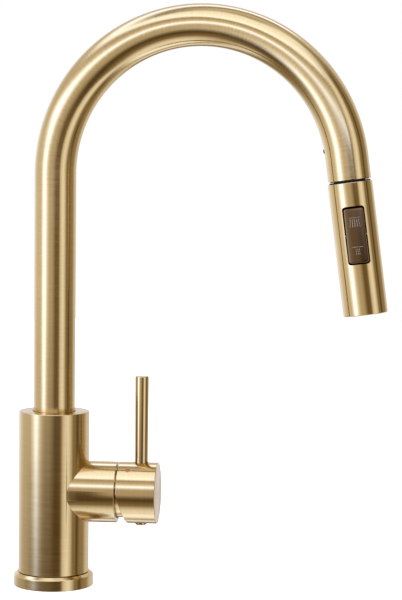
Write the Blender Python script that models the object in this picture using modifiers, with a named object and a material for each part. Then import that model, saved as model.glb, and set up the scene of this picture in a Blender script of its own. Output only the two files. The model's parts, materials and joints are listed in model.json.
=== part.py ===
"""Pull down kitchen faucet: side lever, swivelling gooseneck and a docked spray head.

Metres, +Z up. The origin is the body's axis on the deck, and the spout arches along +X.
Pieces are placed through empties: the branch frame's Z runs along the lever's cartridge, and
the head frame's Z runs along the spray head, from the spout's last bend to the nozzle.
"""

import math

import bmesh
import bpy
from mathutils import Matrix, Vector

# ---- driving dimensions -------------------------------------------------------------------
GAP = 0.0003
FIT = 0.0004
EDGE = 0.0005
OVERCUT = 0.001
WELD_DISTANCE = 0.00001
VISIBLE_STEPS = 36
ROUND_STEPS = 24
SMALL_STEPS = 16
TUBE_RESOLUTION = 10

DECK_THICKNESS = 0.020
FLANGE_R = 0.0270
FLANGE_SIDE_TOP = 0.0073
FLANGE_TOP = 0.0090
SHANK_R = 0.0160
SHANK_BORE_R = 0.0130
SHANK_BOTTOM = -0.042
SHANK_TOP = 0.0117
SEAL_SLOT = (0.0182, 0.0233, 0.0024)
WASHER_R = 0.0250
RUBBER_WASHER_HEIGHT = 0.0030
STEEL_WASHER_HEIGHT = 0.0018
NUT_R = 0.0235
NUT_HEIGHT = 0.0090

BODY_R = 0.0239
BODY_TOP = 0.1187
BODY_BORE_R = 0.0206
BODY_LIP_BOTTOM = 0.1150
BLOCK_BOTTOM = 0.0120
BLOCK_TOP = 0.0916
JOURNAL_BORE_R = 0.0115
JOURNAL_BOTTOM = 0.0826
INLET_R = 0.0026
INLET_PLACE = (0.0112, 0.0125)
INLET_TOP = 0.0560
BUSH_R = 0.0203
BUSH_BORE_R = 0.01435

BRANCH_Z = 0.0642
BRANCH_R = 0.0207
BRANCH_END = 0.0439
BRANCH_AZIMUTH = math.radians(6.8)
BRANCH_BORE_R = 0.01775
LIFT_PIVOT = 0.0479
DISC_R = 0.0149
PORT_R = 0.0023
PORTS = ((0.0075, 0.0), (-0.0045, 0.0065), (-0.0045, -0.0065))
CARTRIDGE_R = 0.0172
CARTRIDGE_NECK_R = 0.0093

HUB_START = 0.0449
HUB_END = 0.0713
HUB_CAVITY_R = 0.0179
HUB_FLOOR = 0.0551
HUB_CUT_ANGLE = math.radians(15.8)
LEVER_STATION = 0.0598
LEVER_R = 0.0045
LEVER_TOP_R = 0.0047
LEVER_TOP = 0.1435
LEVER_FOOT = 0.0189
LEVER_TENON_R = 0.0036
LEVER_TENON_FOOT = 0.0063
PLUG_R = 0.00395
PLUG_TOP = -0.0171
DOT_R = 0.0013
DOT_STATION = 0.0522
DOT_ANGLE = math.radians(36.0)

TUBE_R = 0.0140
TUBE_BORE_R = 0.0128
TUBE_BOTTOM = 0.0976
ARC_Z = 0.2790
ARC_R = 0.09905
ARC_SWEEP = math.radians(172.2)
END_STRAIGHT = 0.0153
ARC_STEPS = 24
SET_SCREW_ANGLE = math.radians(168.7)
SET_SCREW_R = 0.0014
SET_SCREW_END = 0.0040
SET_SCREW_PROUD = 0.0006
NIPPLE_R = 0.0109
NIPPLE_FLANGE_R = 0.0165
NIPPLE_GROOVE_R = 0.0092
O_RING_R = 0.0008
O_RING_HEIGHTS = (0.0859, 0.0896)
DOCK_BORE_R = 0.0107
DOCK_R = 0.0125

HOSE_R = 0.0060
HOSE_BOTTOM = -0.052
HOSE_CHANNEL_R = 0.0082
HOSE_END_SETBACK = 0.0120
HOSE_LEAD_IN = 0.045
HOSE_TAIL_R = 0.0068
HOSE_NUT_R = 0.0073
HOSE_NUT_END = 0.0240

HEAD_R = 0.0145
HEAD_BORE_R = 0.0132
HEAD_START = 0.0169
HEAD_END = 0.1032
HEAD_TWIST = math.radians(-8.0)
WINDOW_WIDTH = 0.0145
WINDOW_LENGTH = 0.0378
WINDOW_CENTRE = 0.05125
WINDOW_CORNER_R = 0.0020
ROCKER_PIVOT_Y = -0.0088
ROCKER_REST_TILT = math.radians(3.5)
PLUNGER_STATION = WINDOW_CENTRE + 0.013
PLUNGER_R = 0.0016
PIN_R = 0.0009
PIN_REACH = 0.0088
CORE_R = 0.0129
CORE_START = 0.0268
CORE_END = 0.0920
AERATOR_R = 0.0074
FACE_BORE_R = 0.0078
BUTTON_R = 0.0143
BUTTON_SIZE = (0.0138, 0.0040, 0.0366)
BUTTON_CORNER_R = 0.0016

# ---- colours: (red, green, blue), roughness, metallic --------------------------------------
FINISHES = {
    "brushed_gold": ((0.62, 0.44, 0.22), 0.30, 1.0),
    "polished_gold": ((0.66, 0.47, 0.24), 0.12, 1.0),
    "dark_gold": ((0.22, 0.14, 0.06), 0.18, 1.0),
    "raw_brass": ((0.60, 0.45, 0.20), 0.35, 1.0),
    "steel": ((0.55, 0.55, 0.56), 0.35, 1.0),
    "black_plastic": ((0.02, 0.02, 0.02), 0.45, 0.0),
    "white_plastic": ((0.75, 0.75, 0.72), 0.45, 0.0),
    "grey_plastic": ((0.30, 0.31, 0.33), 0.45, 0.0),
    "rubber": ((0.03, 0.03, 0.03), 0.70, 0.0),
    "ceramic": ((0.85, 0.84, 0.80), 0.20, 0.0),
    "magnet": ((0.12, 0.12, 0.13), 0.40, 1.0),
    "hose_braid": ((0.10, 0.10, 0.11), 0.55, 0.0),
    "hot_red": ((0.55, 0.03, 0.02), 0.30, 0.0),
    "cold_blue": ((0.02, 0.08, 0.45), 0.30, 0.0),
}


# ---- scene and placing ---------------------------------------------------------------------
def clear_scene():
    for obj in list(bpy.data.objects):
        bpy.data.objects.remove(obj)


def make_collection(name):
    collection = bpy.data.collections.new(name)
    bpy.context.scene.collection.children.link(collection)
    return collection


def make_materials():
    materials = {}
    for name, (colour, roughness, metallic) in FINISHES.items():
        material = bpy.data.materials.new(name)
        material.use_nodes = True
        shader = material.node_tree.nodes["Principled BSDF"]
        shader.inputs["Base Color"].default_value = (*colour, 1.0)
        shader.inputs["Roughness"].default_value = roughness
        shader.inputs["Metallic"].default_value = metallic
        materials[name] = material
    return materials


def make_empty(name, parent=None, location=(0, 0, 0), rotation=None):
    empty = bpy.data.objects.new(name, None)
    PARTS.objects.link(empty)
    empty.parent = parent
    empty.location = location
    if rotation is not None:
        empty.rotation_euler = rotation.to_euler()
    return empty


def frame_rotation(x_axis, y_axis, z_axis):
    return Matrix((x_axis, y_axis, z_axis)).transposed()


def finish(obj, finish_name):
    obj.data.materials.append(MATERIALS[finish_name])
    return obj


def add_mesh(name, mesh, parent, offset, collection):
    obj = bpy.data.objects.new(name, mesh)
    collection.objects.link(obj)
    obj.parent = parent
    obj.location = offset
    return obj


# ---- shapes --------------------------------------------------------------------------------
def ring(inner_r, outer_r, low, high, edge=0.0):
    """Closed section of a ring, down its outer side, with both outer edges broken by edge."""
    return [
        (inner_r, high),
        (outer_r - edge, high),
        *([(outer_r, high - edge)] if edge else []),
        (outer_r, low + edge),
        *([(outer_r - edge, low)] if edge else []),
        (inner_r, low),
    ]


def rod(radius, low, high, edge=0.0):
    """Section of a solid round bar, from its axis at the top to its axis at the bottom."""
    return ring(0.0, radius, low, high, edge)


def turned(name, profile, finish_name=None, parent=None, offset=(0, 0, 0), steps=ROUND_STEPS):
    """Solid of revolution about the parent frame's Z; a cutter when it has no finish."""
    mesh = bpy.data.meshes.new(name)
    on_axis = profile[0][0] == 0.0
    count = len(profile)
    edges = [(i, i + 1) for i in range(count - 1)]
    if not on_axis:
        edges.append((count - 1, 0))
    mesh.from_pydata([(r, 0.0, z) for r, z in profile], edges, [])
    collection = PARTS if finish_name else CUTTERS
    obj = add_mesh(name, mesh, parent, offset, collection)
    screw = obj.modifiers.new("turn", "SCREW")
    screw.steps = steps
    screw.render_steps = steps
    screw.use_merge_vertices = True
    screw.merge_threshold = WELD_DISTANCE
    screw.use_smooth_shade = True
    if finish_name:
        finish(obj, finish_name)
    else:
        hide_cutter(obj)
    return obj


def block(name, size, finish_name=None, parent=None, offset=(0, 0, 0), corner=0.0,
          corner_axis="X"):
    """Box centred on offset; corner rounds the four edges that run along corner_axis."""
    mesh = bpy.data.meshes.new(name)
    shape = bmesh.new()
    bmesh.ops.create_cube(shape, size=1.0)
    bmesh.ops.scale(shape, vec=size, verts=shape.verts)
    if corner:
        along = "XYZ".index(corner_axis)
        edges = [e for e in shape.edges if abs(e.verts[0].co[along] - e.verts[1].co[along]) > corner]
        bmesh.ops.bevel(shape, geom=edges, offset=corner, segments=4, profile=0.5, affect="EDGES")
    shape.to_mesh(mesh)
    shape.free()
    obj = add_mesh(name, mesh, parent, offset, PARTS if finish_name else CUTTERS)
    if finish_name:
        finish(obj, finish_name)
    else:
        hide_cutter(obj)
    return obj


def hide_cutter(obj):
    obj.hide_render = True
    obj.display_type = "WIRE"


def welded_mesh(name, curve):
    """Closed mesh of a curve, its loose caps welded on."""
    guide = bpy.data.objects.new(name + "_guide", curve)
    PARTS.objects.link(guide)
    bpy.context.view_layer.update()
    evaluated = guide.evaluated_get(bpy.context.evaluated_depsgraph_get())
    mesh = bpy.data.meshes.new_from_object(evaluated)
    bpy.data.objects.remove(guide)
    shape = bmesh.new()
    shape.from_mesh(mesh)
    bmesh.ops.remove_doubles(shape, verts=shape.verts, dist=WELD_DISTANCE)
    shape.to_mesh(mesh)
    shape.free()
    mesh.materials.clear()
    return mesh


def swept(name, points, radius, resolution, finish_name=None):
    """Round bar along world points, made a closed mesh."""
    curve = bpy.data.curves.new(name, "CURVE")
    curve.dimensions = "3D"
    curve.bevel_depth = radius
    curve.bevel_resolution = resolution
    curve.use_fill_caps = True
    spline = curve.splines.new("POLY")
    spline.points.add(len(points) - 1)
    for point, place in zip(spline.points, points):
        point.co = (*place, 1.0)
    obj = add_mesh(name, welded_mesh(name, curve), None, (0, 0, 0), PARTS if finish_name else CUTTERS)
    if finish_name:
        finish(obj, finish_name)
    else:
        hide_cutter(obj)
    return obj


def plate(name, outline, half_thickness, finish_name, parent, offset):
    """Flat outline in the parent's XZ plane, thickened both ways along its Y."""
    curve = bpy.data.curves.new(name, "CURVE")
    curve.dimensions = "2D"
    curve.fill_mode = "BOTH"
    curve.extrude = half_thickness
    spline = curve.splines.new("POLY")
    spline.points.add(len(outline) - 1)
    for point, place in zip(spline.points, outline):
        point.co = (*place, 0.0, 1.0)
    spline.use_cyclic_u = True
    obj = add_mesh(name, welded_mesh(name, curve), parent, offset, PARTS)
    obj.rotation_euler = (math.pi / 2, 0, 0)
    return finish(obj, finish_name)


def boolean(obj, other, operation="DIFFERENCE"):
    modifier = obj.modifiers.new(other.name, "BOOLEAN")
    modifier.operation = operation
    modifier.object = other
    modifier.solver = "EXACT"


# ---- below the deck and the base -----------------------------------------------------------
def build_base():
    bore_r = SHANK_R + FIT
    slot_inner, slot_outer, slot_top = SEAL_SLOT
    turned("base_flange", [
        (bore_r, FLANGE_TOP),
        (FLANGE_R - 0.0024, FLANGE_TOP),
        (FLANGE_R - FIT, FLANGE_SIDE_TOP + FIT),
        (FLANGE_R, FLANGE_SIDE_TOP - FIT),
        (FLANGE_R, 0.0),
        (slot_outer, 0.0),
        (slot_outer, slot_top),
        (slot_inner, slot_top),
        (slot_inner, 0.0),
        (bore_r, 0.0),
    ], "brushed_gold", steps=VISIBLE_STEPS)
    turned("base_seal", ring(slot_inner + FIT, slot_outer - FIT, 0.0, slot_top - GAP), "rubber")
    turned("threaded_shank", ring(SHANK_BORE_R, SHANK_R, SHANK_BOTTOM, SHANK_TOP, EDGE), "raw_brass")
    top = -DECK_THICKNESS
    bottom = top - RUBBER_WASHER_HEIGHT
    turned("rubber_washer", ring(bore_r, WASHER_R, bottom, top), "rubber")
    top = bottom - GAP
    bottom = top - STEEL_WASHER_HEIGHT
    turned("steel_washer", ring(bore_r, WASHER_R, bottom, top), "steel")
    top = bottom - GAP
    bottom = top - NUT_HEIGHT
    nut = turned("mounting_nut", rod(NUT_R, bottom, top), "raw_brass", steps=6)
    nut_bore = turned("nut_bore_cutter", rod(bore_r, bottom - OVERCUT, top + OVERCUT), steps=SMALL_STEPS)
    boolean(nut, nut_bore)


# ---- body ----------------------------------------------------------------------------------
def build_body(branch):
    bottom = FLANGE_TOP + GAP
    shell = turned("body_shell", rod(BODY_R, bottom, BODY_TOP, EDGE), "brushed_gold",
                   steps=VISIBLE_STEPS)
    arm = turned("branch_cutter", rod(BRANCH_R, OVERCUT, BRANCH_END, EDGE), parent=branch,
                 steps=VISIBLE_STEPS)
    boolean(shell, arm, "UNION")
    bore = turned("body_bore_cutter", [
        (0.0, BODY_TOP + OVERCUT),
        (TUBE_R + FIT, BODY_TOP + OVERCUT),
        (TUBE_R + FIT, BODY_LIP_BOTTOM),
        (BODY_BORE_R, BODY_LIP_BOTTOM),
        (BODY_BORE_R, bottom - OVERCUT),
        (0.0, bottom - OVERCUT),
    ])
    boolean(shell, bore)
    branch_bore = turned("branch_bore_cutter", rod(BRANCH_BORE_R, 0.010, BRANCH_END + OVERCUT),
                         parent=branch)
    boolean(shell, branch_bore)

    valve_block = turned("valve_block", rod(BODY_BORE_R - FIT, BLOCK_BOTTOM, BLOCK_TOP, EDGE),
                         "raw_brass")
    journal_bore = turned("block_bore_cutter", [
        (0.0, BLOCK_TOP + OVERCUT),
        (JOURNAL_BORE_R, BLOCK_TOP + OVERCUT),
        (JOURNAL_BORE_R, JOURNAL_BOTTOM),
        (HOSE_CHANNEL_R, JOURNAL_BOTTOM),
        (HOSE_CHANNEL_R, BLOCK_BOTTOM - OVERCUT),
        (0.0, BLOCK_BOTTOM - OVERCUT),
    ])
    boolean(valve_block, journal_bore)
    pocket = turned("pocket_cutter", rod(BRANCH_BORE_R - 0.00015, 0.0125, 0.030), parent=branch)
    boolean(valve_block, pocket)
    for side in (-1, 1):
        inlet = turned(f"inlet_{side + 1}_cutter", rod(INLET_R, BLOCK_BOTTOM - OVERCUT, INLET_TOP),
                       steps=SMALL_STEPS, offset=(INLET_PLACE[0], side * INLET_PLACE[1], 0.0))
        boolean(valve_block, inlet)
    turned("spout_bush", [
        (BUSH_BORE_R, BODY_LIP_BOTTOM - GAP),
        (BUSH_R, BODY_LIP_BOTTOM - GAP),
        (BUSH_R, BLOCK_TOP + GAP),
        (NIPPLE_FLANGE_R + FIT, BLOCK_TOP + GAP),
        (NIPPLE_FLANGE_R + FIT, TUBE_BOTTOM + 0.0002),
        (BUSH_BORE_R, TUBE_BOTTOM + 0.0002),
    ], "white_plastic")


# ---- ceramic cartridge in the branch -------------------------------------------------------
def cut_ports(obj, branch, low, high):
    for index, (x, y) in enumerate(PORTS):
        port = turned(f"{obj.name}_port_{index}_cutter", rod(PORT_R, low, high), parent=branch,
                      offset=(x, y, 0.0), steps=SMALL_STEPS)
        boolean(obj, port)


def build_cartridge(branch):
    turned("cartridge_body", [
        (CARTRIDGE_NECK_R, 0.0406),
        (CARTRIDGE_R, 0.0406),
        (CARTRIDGE_R, 0.0131),
        (DISC_R + GAP, 0.0131),
        (DISC_R + GAP, 0.0370),
        (CARTRIDGE_NECK_R, 0.0370),
    ], "white_plastic", branch)
    base = turned("cartridge_base", rod(DISC_R, 0.0129, 0.0183), "grey_plastic", branch)
    cut_ports(base, branch, 0.012, 0.020)
    fixed = turned("fixed_disc", rod(DISC_R, 0.0186, 0.0220), "ceramic", branch)
    cut_ports(fixed, branch, 0.018, 0.023)

    moving = turned("moving_disc", rod(0.0104, 0.0223, 0.0257), "ceramic", branch)
    key = block("disc_key_cutter", (0.0050, 0.0056, 0.0082), parent=branch, offset=(0, 0, 0.0281))
    boolean(moving, key, "UNION")

    rotor = turned("cartridge_rotor", [
        (0.0, 0.0504),
        (0.0088, 0.0504),
        (0.0088, 0.0367),
        (0.0120, 0.0367),
        (0.0120, 0.0293),
        (DISC_R, 0.0293),
        (DISC_R, 0.0260),
        (0.0, 0.0260),
    ], "grey_plastic", branch)
    slot = block("rotor_slot_cutter", (0.0126, 0.0064, 0.030), parent=branch, offset=(0.0011, 0, 0.0390))
    boolean(rotor, slot)

    turned("cartridge_nut", ring(CARTRIDGE_NECK_R, 0.0174, 0.0409, 0.0433), "raw_brass", branch)
    turned("trim_collar", [
        (CARTRIDGE_NECK_R, 0.0512),
        (0.0120, 0.0512),
        (0.0156, 0.0507),
        (0.0170, 0.0496),
        (0.0170, 0.0436),
        (0.0158, 0.0436),
        (0.0158, 0.0490),
        (0.0145, 0.0497),
        (CARTRIDGE_NECK_R, 0.0500),
    ], "brushed_gold", branch)


# ---- lever handle --------------------------------------------------------------------------
def build_handle(branch, pivot):
    back = (0, 0, -LIFT_PIVOT)
    plate("cartridge_stem", [
        (0.0022, 0.0329),
        (0.0040, 0.0440),
        (0.0040, 0.0640),
        (-0.0040, 0.0640),
        (-0.0040, 0.0440),
        (-0.0022, 0.0329),
    ], 0.0030, "steel", pivot, back)

    hub = turned("handle_hub", [
        (0.0, HUB_END),
        (BRANCH_R - EDGE, HUB_END),
        (BRANCH_R, HUB_END - EDGE),
        (BRANCH_R, HUB_START),
        (HUB_CAVITY_R, HUB_START),
        (HUB_CAVITY_R, HUB_FLOOR),
        (0.0, HUB_FLOOR),
    ], "brushed_gold", pivot, back, steps=VISIBLE_STEPS)
    wedge = block("hub_wedge_cutter", (0.060, 0.060, 0.020), parent=pivot)
    wedge.rotation_euler = (0, HUB_CUT_ANGLE, 0)
    start = Vector((0.0015, 0, HUB_START - LIFT_PIVOT))
    normal = Vector((math.sin(HUB_CUT_ANGLE), 0, math.cos(HUB_CUT_ANGLE)))
    wedge.location = start - 0.010 * normal - 0.0296 * Vector((normal.z, 0, -normal.x))
    boolean(hub, wedge)
    station = LEVER_STATION - LIFT_PIVOT
    upright = make_empty("lever_frame", pivot, (0, 0, station),
                         frame_rotation((0, 0, -1), (0, 1, 0), (1, 0, 0)))
    hole = turned("lever_hole_cutter", [
        (0.0, 0.030),
        (LEVER_R + GAP, 0.030),
        (LEVER_R + GAP, LEVER_FOOT - GAP),
        (LEVER_TENON_R + GAP, LEVER_FOOT - GAP),
        (LEVER_TENON_R + GAP, LEVER_TENON_FOOT - GAP),
        (0.0, LEVER_TENON_FOOT - GAP),
    ], parent=upright, steps=SMALL_STEPS)
    boolean(hub, hole)
    plug_hole = turned("plug_hole_cutter", [
        (0.0, -0.0036),
        (0.0031, -0.0036),
        (0.0031, PLUG_TOP + GAP),
        (PLUG_R + GAP, PLUG_TOP + GAP),
        (PLUG_R + GAP, -0.030),
        (0.0, -0.030),
    ], parent=upright, steps=SMALL_STEPS)
    boolean(hub, plug_hole)
    socket = block("stem_socket_cutter", (0.0086, 0.0066, 0.0200), parent=pivot,
                   offset=(0, 0, 0.0643 - 0.0100 - LIFT_PIVOT))
    boolean(hub, socket)

    turned("lever_rod", [
        (0.0, LEVER_TOP - BRANCH_Z),
        (LEVER_TOP_R - EDGE, LEVER_TOP - BRANCH_Z),
        (LEVER_TOP_R, LEVER_TOP - BRANCH_Z - EDGE),
        (LEVER_R, BRANCH_R),
        (LEVER_R, LEVER_FOOT),
        (LEVER_TENON_R, LEVER_FOOT),
        (LEVER_TENON_R, LEVER_TENON_FOOT),
        (0.0, LEVER_TENON_FOOT),
    ], "polished_gold", upright, steps=SMALL_STEPS)
    turned("grub_screw", rod(0.0028, -0.0160, -0.0046, 0.0003), "steel", upright, steps=SMALL_STEPS)
    turned("hub_plug", [
        (0.0, PLUG_TOP),
        (PLUG_R, PLUG_TOP),
        (PLUG_R, -0.0214),
        (0.0034, -0.0220),
        (0.0018, -0.0223),
        (0.0, -0.0223),
    ], "polished_gold", upright, steps=SMALL_STEPS)

    for name, side, colour in (("hot_dot", 1, "hot_red"), ("cold_dot", -1, "cold_blue")):
        tilt = side * DOT_ANGLE
        outward = Vector((math.cos(tilt), math.sin(tilt), 0))
        across = Vector((-math.sin(tilt), math.cos(tilt), 0))
        socket_frame = make_empty(name + "_frame", pivot, (0, 0, DOT_STATION - LIFT_PIVOT),
                                  frame_rotation(Vector((0, 0, -1)), across, outward))
        recess = turned(name + "_cutter", rod(DOT_R + GAP, 0.0196, 0.0230), parent=socket_frame,
                        steps=SMALL_STEPS)
        boolean(hub, recess)
        turned(name, rod(DOT_R, 0.0199, 0.0206), colour, socket_frame, steps=SMALL_STEPS)


# ---- spout ---------------------------------------------------------------------------------
def arc_point(angle, radius=ARC_R):
    """Point at angle round the bend, from 0 above the body to ARC_SWEEP at the head."""
    return Vector((ARC_R - radius * math.cos(angle), 0, ARC_Z + radius * math.sin(angle)))


def head_direction():
    return Vector((math.sin(math.pi - ARC_SWEEP), 0, -math.cos(math.pi - ARC_SWEEP)))


def spout_route(bottom, after_arc):
    points = [Vector((0, 0, bottom))]
    points += [arc_point(ARC_SWEEP * i / ARC_STEPS) for i in range(ARC_STEPS + 1)]
    points.append(points[-1] + after_arc * head_direction())
    return points


def build_spout(dock):
    tube = swept("spout_tube", spout_route(TUBE_BOTTOM, END_STRAIGHT), TUBE_R, TUBE_RESOLUTION,
                 "brushed_gold")
    bore = swept("tube_bore_cutter", spout_route(TUBE_BOTTOM - OVERCUT, END_STRAIGHT + OVERCUT),
                 TUBE_BORE_R, TUBE_RESOLUTION)
    boolean(tube, bore)

    screw_axis = (arc_point(SET_SCREW_ANGLE) - Vector((ARC_R, 0, ARC_Z))).normalized()
    screw_frame = make_empty("set_screw_frame", None, (ARC_R, 0, ARC_Z), frame_rotation(
        Vector((0, 1, 0)), screw_axis.cross(Vector((0, 1, 0))), screw_axis))
    inner_wall = ARC_R - TUBE_R
    hole = turned("set_screw_cutter", rod(SET_SCREW_R + GAP, inner_wall - OVERCUT, inner_wall + 0.0050),
                  parent=screw_frame, steps=SMALL_STEPS)
    boolean(tube, hole)
    turned("dock_screw", rod(SET_SCREW_R, inner_wall - SET_SCREW_PROUD, inner_wall + SET_SCREW_END),
           "black_plastic", screw_frame, steps=SMALL_STEPS)

    turned("spout_nipple", [
        (HOSE_CHANNEL_R, 0.112),
        (0.0118, 0.112),
        (0.0124, 0.111),
        (0.0124, 0.0973),
        (NIPPLE_FLANGE_R, 0.0973),
        (NIPPLE_FLANGE_R, 0.0922),
        (NIPPLE_R, 0.0922),
        (NIPPLE_R, 0.0907),
        (NIPPLE_GROOVE_R, 0.0907),
        (NIPPLE_GROOVE_R, 0.0885),
        (NIPPLE_R, 0.0885),
        (NIPPLE_R, 0.0870),
        (NIPPLE_GROOVE_R, 0.0870),
        (NIPPLE_GROOVE_R, 0.0848),
        (NIPPLE_R, 0.0848),
        (NIPPLE_R, 0.0832),
        (HOSE_CHANNEL_R, 0.0832),
    ], "raw_brass")
    for name, height in zip(("lower_o_ring", "upper_o_ring"), O_RING_HEIGHTS):
        middle = (NIPPLE_GROOVE_R + JOURNAL_BORE_R) / 2
        section = [(middle + O_RING_R * math.cos(a), height + O_RING_R * math.sin(a))
                   for a in (-math.tau * i / 6 for i in range(6))]
        turned(name, section, "rubber")

    insert = turned("dock_insert", [
        (DOCK_BORE_R, 0.0117),
        (DOCK_R, 0.0117),
        (DOCK_R, 0.0010),
        (0.0119, -0.0010),
        (0.0119, -0.0090),
        (0.0090, -0.0090),
        (0.0090, 0.0030),
        (0.0093, 0.0060),
    ], "black_plastic", dock)
    boolean(insert, hole)
    turned("dock_magnet", ring(DOCK_BORE_R, DOCK_R, 0.0120, 0.0150), "magnet", dock)


def hose_lead_in(start_angle, end, steps=8):
    """Smooth run from the bend's centreline to end, which it reaches along the head's axis."""
    start = arc_point(start_angle)
    leaving = Vector((math.sin(start_angle), 0, math.cos(start_angle)))
    reach = (end - start).length
    points = []
    for i in range(1, steps + 1):
        t = i / steps
        points.append((2 * t**3 - 3 * t**2 + 1) * start + (t**3 - 2 * t**2 + t) * reach * leaving
                      + (3 * t**2 - 2 * t**3) * end + (t**3 - t**2) * reach * head_direction())
    return points


def build_hose(dock):
    hose_end = arc_point(ARC_SWEEP) - HOSE_END_SETBACK * head_direction()
    bend = ARC_SWEEP - HOSE_LEAD_IN / ARC_R
    points = [Vector((0, 0, HOSE_BOTTOM)), Vector((0, 0, 0.10))]
    points += [arc_point(bend * i / ARC_STEPS) for i in range(ARC_STEPS + 1)]
    points += hose_lead_in(bend, hose_end)
    swept("spray_hose", points, HOSE_R, 4, "hose_braid")
    turned("hose_tail", [
        (0.0, HOSE_BOTTOM - GAP),
        (HOSE_TAIL_R, HOSE_BOTTOM - GAP),
        (HOSE_TAIL_R, HOSE_BOTTOM - 0.009),
        (0.0050, HOSE_BOTTOM - 0.010),
        (0.0050, HOSE_BOTTOM - 0.016),
        (0.0, HOSE_BOTTOM - 0.016),
    ], "raw_brass", steps=SMALL_STEPS)
    turned("hose_ferrule", rod(0.0070, -0.0115, -0.0010, 0.0004), "steel", dock, steps=SMALL_STEPS)
    turned("hose_nut", [
        (0.0, HOSE_NUT_END),
        (HOSE_NUT_R - EDGE, HOSE_NUT_END),
        (HOSE_NUT_R, HOSE_NUT_END - EDGE),
        (HOSE_NUT_R, 0.0005),
        (HOSE_NUT_R - EDGE, -0.0007),
        (0.0, -0.0007),
    ], "steel", dock, steps=SMALL_STEPS)


# ---- spray head ----------------------------------------------------------------------------
def build_head(dock, head):
    turned("head_collar", [
        (0.0078, 0.0048),
        (0.0084, 0.0040),
        (0.0088, 0.0060),
        (0.0102, 0.0118),
        (0.0102, 0.0160),
        (0.0135, 0.0160),
        (0.0135, 0.0166),
        (CORE_R, 0.0166),
        (CORE_R, 0.0262),
        (0.0078, 0.0262),
    ][::-1], "black_plastic", head)
    turned("catch_ring", ring(0.0105, 0.0126, 0.01535, 0.0157), "steel", head)

    shell = turned("head_shell", [
        (HEAD_BORE_R, HEAD_END),
        (HEAD_R - EDGE, HEAD_END),
        (HEAD_R, HEAD_END - EDGE),
        (HEAD_R, HEAD_START + EDGE),
        (HEAD_R - EDGE, HEAD_START),
        (HEAD_BORE_R, HEAD_START),
    ], "polished_gold", head, steps=VISIBLE_STEPS)
    window = block("window_cutter", (WINDOW_WIDTH, 0.012, WINDOW_LENGTH), parent=head,
                   offset=(0, -0.0145, WINDOW_CENTRE), corner=WINDOW_CORNER_R, corner_axis="Y")
    boolean(shell, window)

    core = turned("head_core", rod(CORE_R, CORE_START, CORE_END, EDGE), "black_plastic", head)
    pocket = block("rocker_pocket_cutter", (0.0152, 0.012, 0.0392), parent=head,
                   offset=(0, -0.0122, WINDOW_CENTRE))
    boolean(core, pocket)
    waterway = turned("waterway_cutter", rod(0.0036, 0.025, CORE_END + OVERCUT), parent=head,
                      offset=(0, 0.0060, 0), steps=SMALL_STEPS)
    boolean(core, waterway)
    valve_seat = turned("valve_seat_cutter", rod(0.0050, 0.025, 0.0290), parent=head, steps=SMALL_STEPS)
    boolean(core, valve_seat)
    turned("inlet_washer", ring(0.0022, 0.0046, 0.0243, 0.0286), "rubber", head, steps=SMALL_STEPS)

    across = make_empty("pin_frame", head, (0, ROCKER_PIVOT_Y, WINDOW_CENTRE),
                        frame_rotation((0, 0, -1), (0, 1, 0), (1, 0, 0)))
    pin_hole = turned("pin_hole_cutter", rod(PIN_R + GAP, -0.0100, 0.0100), parent=across,
                      steps=SMALL_STEPS)
    boolean(core, pin_hole)
    turned("rocker_pin", rod(PIN_R, -PIN_REACH, PIN_REACH), "steel", across, steps=SMALL_STEPS)

    plunger_frame = make_empty("plunger_frame", head, (0, 0, PLUNGER_STATION),
                               frame_rotation((1, 0, 0), (0, 0, 1), (0, -1, 0)))
    plunger_hole = turned("plunger_hole_cutter", rod(PLUNGER_R + GAP, 0.0020, 0.0090), parent=plunger_frame,
                          steps=SMALL_STEPS)
    boolean(core, plunger_hole)
    turned("diverter_plunger", rod(PLUNGER_R, 0.0042, 0.0106, 0.0002), "white_plastic", plunger_frame,
           steps=SMALL_STEPS)

    turned("spray_face", ring(FACE_BORE_R, CORE_R, 0.0974, 0.1026, 0.0003), "grey_plastic", head)
    turned("aerator", rod(AERATOR_R, 0.0930, 0.1020, 0.0003), "grey_plastic", head, steps=SMALL_STEPS)
    turned("diffuser_plate", ring(FACE_BORE_R, CORE_R, CORE_END + GAP, 0.0971), "white_plastic", head)


def build_rocker(pivot):
    middle = BUTTON_SIZE[1] / 2 - BUTTON_R - ROCKER_PIVOT_Y
    button = block("rocker_button", BUTTON_SIZE, "dark_gold", pivot, (0, middle, 0),
                   corner=BUTTON_CORNER_R, corner_axis="Y")
    barrel = turned("rocker_barrel_cutter", rod(BUTTON_R, -0.030, 0.030), parent=pivot,
                    offset=(0, -ROCKER_PIVOT_Y, 0), steps=64)
    boolean(button, barrel, "INTERSECT")
    boss = block("rocker_boss_cutter", (0.0100, 0.0040, 0.0042), parent=pivot)
    boolean(button, boss, "UNION")
    bore = turned("rocker_bore_cutter", rod(PIN_R + GAP, -0.0080, 0.0080), parent=pivot,
                  steps=SMALL_STEPS)
    bore.rotation_euler = (0, math.pi / 2, 0)
    boolean(button, bore)


clear_scene()
PARTS = make_collection("pull_down_faucet")
CUTTERS = make_collection("cutters")
MATERIALS = make_materials()

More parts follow.
